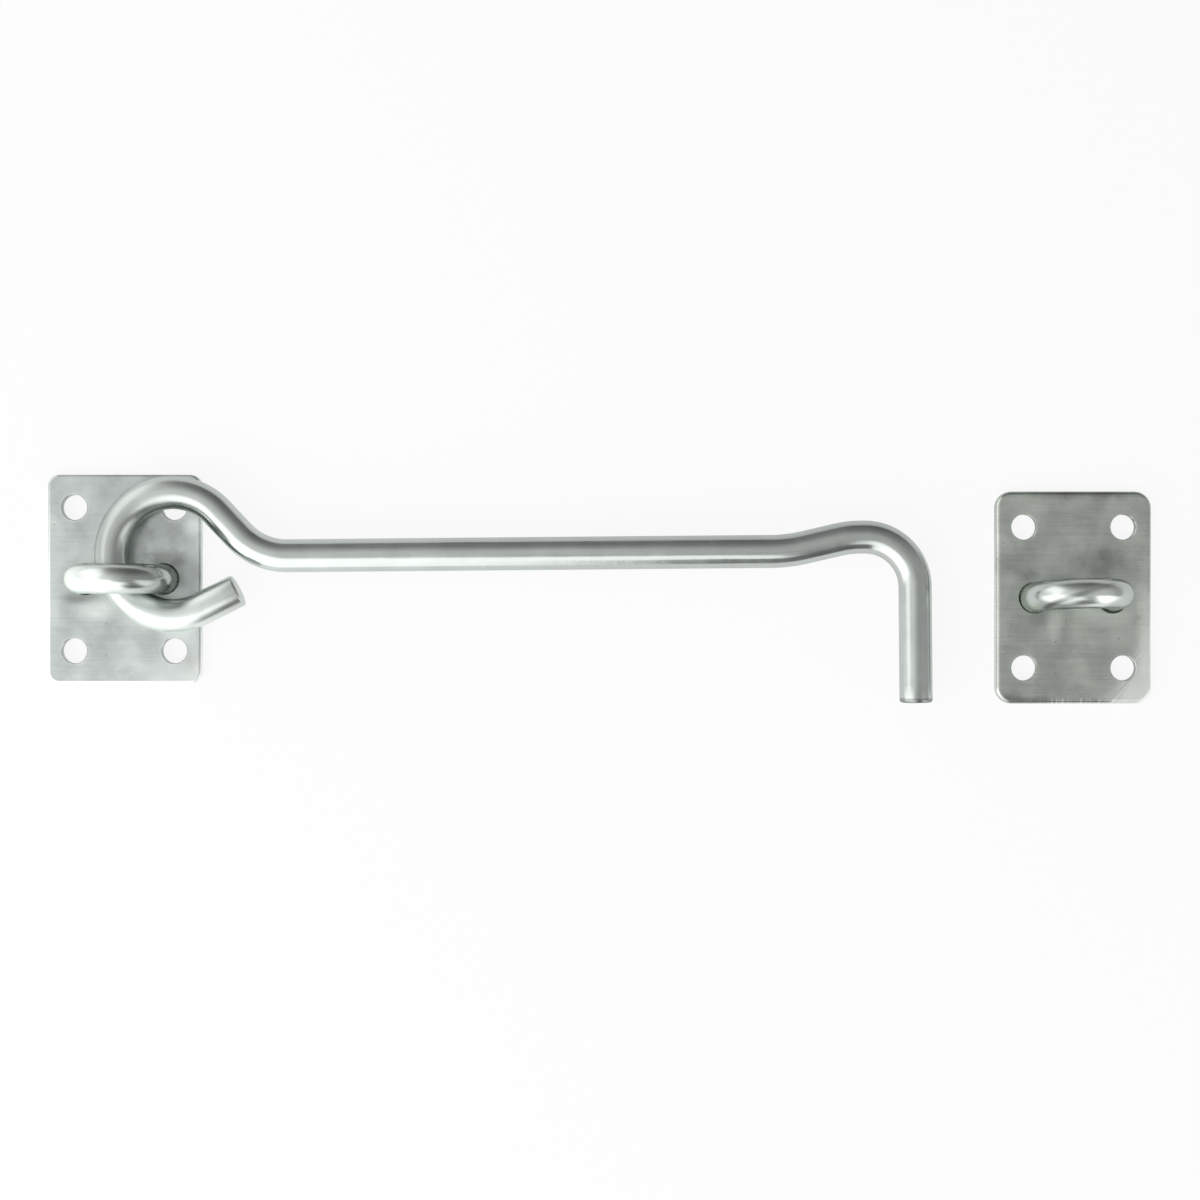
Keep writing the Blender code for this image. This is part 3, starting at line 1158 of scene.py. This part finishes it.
# %% [markdown]
# Finish of the hook and the eyes
# The half of the hook's eye on the left, and the foot of the ring, carry a painted highlight that
# makes them almost white, and the right half of that eye and the left side of the ring carry painted
# shade. The ring is more satin than the shank, so the hook's first 55 mm are rougher, and that fades
# out by 85 mm. On the keeper's eye a painted dark reflection leans across the top between two
# painted highlights, and the rim of the prong's end has a painted dark reflection too. A mark that
# leans has its slope as a last number.

# %% Finish of the hook and the eyes
HOOK_LOOK = {
    "dark": (0.53, 0.565, 0.54, 1.0),
    "light": (0.61, 0.65, 0.625, 1.0),
    "roughness": 0.2,
    "satin": (55.0, 85.0, 0.11),
    "painted_light_and_marks": (
        ((17.0, 0.0), (16.0, 30.0), 0.30),  # painted highlight on the foot of the ring
        ((44.0, 0.0), (13.0, 30.0), -0.16),  # painted shade on the left side of the ring
        ((284.5, 0.0), (0.9, 30.0), -0.45),  # painted dark reflection on the rim of the prong's end
    ),
}
EYE_LOOK = {
    "dark": (0.52, 0.555, 0.525, 1.0),
    "light": (0.61, 0.65, 0.615, 1.0),
    "roughness": 0.24,
    "satin": (0.0, 1.0, 0.0),
}
HOOK_EYE_PAINTED_LIGHT = (
    ((13.0, -0.5), (14.0, 8.0), 0.55, -1.2),  # painted highlight on the left half
    ((32.0, 0.5), (10.0, 8.0), -0.22, -1.2),  # painted shade on the right half
)
KEEPER_EYE_PAINTED_LIGHT = (
    ((15.5, -0.5), (5.5, 3.5), 0.16),  # painted highlight at the left
    ((20.8, -0.8), (2.2, 3.6), -0.45, 2.6),  # painted dark reflection, a band that leans
    ((17.0, -2.9), (6.5, 1.9), -0.50),  # its foot along the lower side, painted dark too
    ((25.8, -0.8), (3.4, 3.6), 0.60),  # painted highlight at the right
    ((38.0, 0.0), (5.0, 9.0), -0.12),  # painted shade on the right leg
)
hook_rod.data.materials.append(bar_steel("hook_finish", HOOK_LOOK))
hook_eye.data.materials.append(
    bar_steel("hook_eye_finish", {**EYE_LOOK, "painted_light_and_marks": HOOK_EYE_PAINTED_LIGHT})
)
keeper_eye.data.materials.append(
    bar_steel("keeper_eye_finish", {**EYE_LOOK, "painted_light_and_marks": KEEPER_EYE_PAINTED_LIGHT})
)

# %% [markdown]
# White paper
# The latch is photographed on white paper. For rays from the camera the paper mostly glows at a
# strength of 1, which keeps it white without more light on the steel. The rest of it is lit, so
# it keeps the latch's shadow. For rays that the metal throws back it glows too, brighter on the
# left and darker above the latch, as the lamps of such a table leave it.

# %% White paper
PAPER_HALF = 3.0
PAPER_DROP = 0.05 * MM

middle_x = (cad_low.x + cad_high.x) / 2
bpy.ops.object.select_all(action="DESELECT")
bpy.ops.mesh.primitive_plane_add(size=2 * PAPER_HALF, location=(middle_x, 0, -PAPER_DROP))
paper = bpy.context.object
paper.name = "paper"

# %% The paper's material
PAPER_GLOW = 0.88
PAPER_WHITE = (0.97, 0.97, 0.97, 1.0)
SEEN_ACROSS = (-0.20, 0.02, 1.4, 0.95)  # from and to in X, and its strength in the metal there
SEEN_UP = (-0.01, 0.05, 1.0, 0.72)  # the same in Y

paper_white = bpy.data.materials.new("white_paper")
paper_white.use_nodes = True
paper_white.node_tree.nodes.clear()
board = Board(paper_white.node_tree)
rays = board.node("LightPath").outputs
by_camera = rays["Is Camera Ray"]
seen = board.math("ADD", by_camera, rays["Is Glossy Ray"])
seen = board.math("ADD", seen, rays["Is Transmission Ray"])
x, y, _ = board.split(board.node("TexCoord").outputs["Object"])
in_metal = board.math("MULTIPLY", board.remap(x, *SEEN_ACROSS), board.remap(y, *SEEN_UP))
in_metal = board.math("MULTIPLY", in_metal, board.math("SUBTRACT", 1.0, by_camera))
glow = board.node("Emission")
board.feed(glow.inputs["Strength"], board.math("ADD", in_metal, by_camera))
lit = board.node("BsdfDiffuse")
lit.inputs["Color"].default_value = PAPER_WHITE
mixed = board.node("MixShader")
board.feed(mixed.inputs[0], board.math("MULTIPLY", seen, PAPER_GLOW))
board.feed(mixed.inputs[1], lit.outputs[0])
board.feed(mixed.inputs[2], glow.outputs[0])
board.feed(board.node("OutputMaterial").inputs["Surface"], mixed.outputs[0])
paper.data.materials.append(paper_white)
print("paper is", 2 * PAPER_HALF, "m wide")

# %% [markdown]
# Light tent
# Bright metal looks like what stands round it, so a photographer puts it under a tent. The tent
# is a half sphere that glows by itself and lights the latch softly from all sides. The camera
# looks through it, and the metal sees it. It is cut just below the paper, so that no dark gap
# shows between them.

# %% The tent's cloth
TENT_RADIUS = 0.8
TENT_MIDDLE_X = 0.116
TENT_SEGMENTS, TENT_RINGS = 48, 24

bpy.ops.object.select_all(action="DESELECT")
bpy.ops.mesh.primitive_uv_sphere_add(
    segments=TENT_SEGMENTS,
    ring_count=TENT_RINGS,
    radius=TENT_RADIUS,
    location=(TENT_MIDDLE_X, 0, 0),
)
tent = bpy.context.object
tent.name = "light_tent"
bpy.ops.object.transform_apply(location=True, rotation=True, scale=True)
to_edit()
bpy.ops.mesh.select_all(action="SELECT")
bpy.ops.mesh.bisect(plane_co=(0, 0, -MM), plane_no=(0, 0, 1), clear_inner=True)
to_object()
tent.visible_camera = False
print("tent has", len(tent.data.polygons), "faces")

# %% [markdown]
# Brightness of the tent
# How bright each part of the cloth is decides the bands in the metal. Overhead it is mid grey,
# paler on the left and darker to the sides. A bright panel in front makes the white line along
# the shank, and it ends on the right, where that line stops. A panel on the left lights the ring
# and the inner side of the prong, and a narrow one on the far right lights its outer side. Four
# numbers of a range are two places in metres and the value at each, and two go from 0 to 1.

# %% The roof
OVERHEAD_ACROSS = (-0.15, 0.386, 0.88, 0.44)
OVERHEAD_TO_SIDES = (0.12, 0.76, 1.0, 0.35)

cloth = bpy.data.materials.new("tent_cloth")
cloth.use_nodes = True
cloth.cycles.emission_sampling = "NONE"
cloth.node_tree.nodes.clear()
board = Board(cloth.node_tree)
x, y, z = board.split(board.node("TexCoord").outputs["Object"])
toward_front = board.math("MULTIPLY", y, -1.0)

overhead = board.remap(x, *OVERHEAD_ACROSS, soft=False)
to_sides = board.remap(board.math("ABSOLUTE", y), *OVERHEAD_TO_SIDES)
brightness = board.math("MULTIPLY", overhead, to_sides)

# %% The front panel
FRONT_START_LEFT = (-0.15, 0.10, -0.04, 0.27)
FRONT_START_RIGHT = (0.21, 0.31, 0.0, 0.22)
FRONT_FULL = (-0.35, -0.05, 0.22, 0.38)
FRONT_FADE = 0.1
FRONT_END = (0.45, 0.55, 0.14, 0.35)
FRONT_END_FADE = (-0.045, 0.045)
FRONT_LEVEL = (-0.15, 0.15, 1.9, 1.5)

front_start = board.remap(x, *FRONT_START_LEFT)
front_start = board.math("ADD", front_start, board.remap(x, *FRONT_START_RIGHT))
front_full = board.math("ADD", front_start, FRONT_FADE)
front_full = board.math("MAXIMUM", front_full, board.remap(x, *FRONT_FULL))
front = board.remap(toward_front, front_start, front_full)
before_end = board.math("SUBTRACT", board.remap(z, *FRONT_END), x)
front = board.math("MULTIPLY", front, board.remap(before_end, *FRONT_END_FADE))
front = board.math("MULTIPLY", front, board.remap(x, *FRONT_LEVEL, soft=False))
brightness = board.math("MAXIMUM", brightness, front)

# %% The side panels
LEFT_ACROSS = (-0.38, -0.12, 1.5, 0.0)
LEFT_END = (-0.66, -0.56, 0.65, 1.0)
LEFT_TOP, LEFT_TOP_SLOPE = 0.75, 0.35
LEFT_TOP_FADE = (-0.03, 0.03)
RIGHT_ACROSS = (0.52, 0.6, 0.0, 1.45)
RIGHT_TO_FRONT = (0.15, 0.25)

left = board.math("MULTIPLY", board.remap(x, *LEFT_ACROSS), board.remap(x, *LEFT_END))
below_top = board.math("SUBTRACT", board.add_up(LEFT_TOP, (x, LEFT_TOP_SLOPE)), z)
left = board.math("MULTIPLY", left, board.remap(below_top, *LEFT_TOP_FADE))
brightness = board.math("MAXIMUM", brightness, left)

right = board.remap(toward_front, *RIGHT_TO_FRONT)
right = board.math("MULTIPLY", right, board.remap(x, *RIGHT_ACROSS))
brightness = board.math("MAXIMUM", brightness, right)

shine = board.node("Emission")
board.feed(shine.inputs["Strength"], brightness)
board.feed(board.node("OutputMaterial").inputs["Surface"], shine.outputs[0])
tent.data.materials.append(cloth)
print("tent cloth", len(board.tree.nodes), "nodes")

# %% [markdown]
# World
# Outside the tent the world is plain white. It lights the paper out there, and the camera sees
# it past the paper's edge.

# %% World
world = bpy.data.worlds.new("white_room")
world.use_nodes = True
world.node_tree.nodes["Background"].inputs["Color"].default_value = (1.0, 1.0, 1.0, 1.0)
bpy.context.scene.world = world
print("world", world.name)

# %% [markdown]
# Camera
# The photograph is taken from straight above. How far the tops of the eyes lean outwards in it
# puts the camera about 0.6 m above the plates, over the middle of the latch. The Standard view
# transform keeps white paper white.

# %% Camera
CAMERA_ABOVE = 0.6
CAMERA_OVER = (0.116, -0.0051)
CAMERA_LENS = 73.8
CAMERA_SENSOR = 36.0

camera_data = bpy.data.cameras.new("camera")
camera_data.sensor_width = CAMERA_SENSOR
camera_data.lens = CAMERA_LENS
camera = bpy.data.objects.new("camera", camera_data)
bpy.context.collection.objects.link(camera)
camera.location = (*CAMERA_OVER, PLATE_THICKNESS + CAMERA_ABOVE)
bpy.context.scene.camera = camera
bpy.context.scene.view_settings.view_transform = "Standard"
print("camera at", [round(v, 3) for v in camera.location])
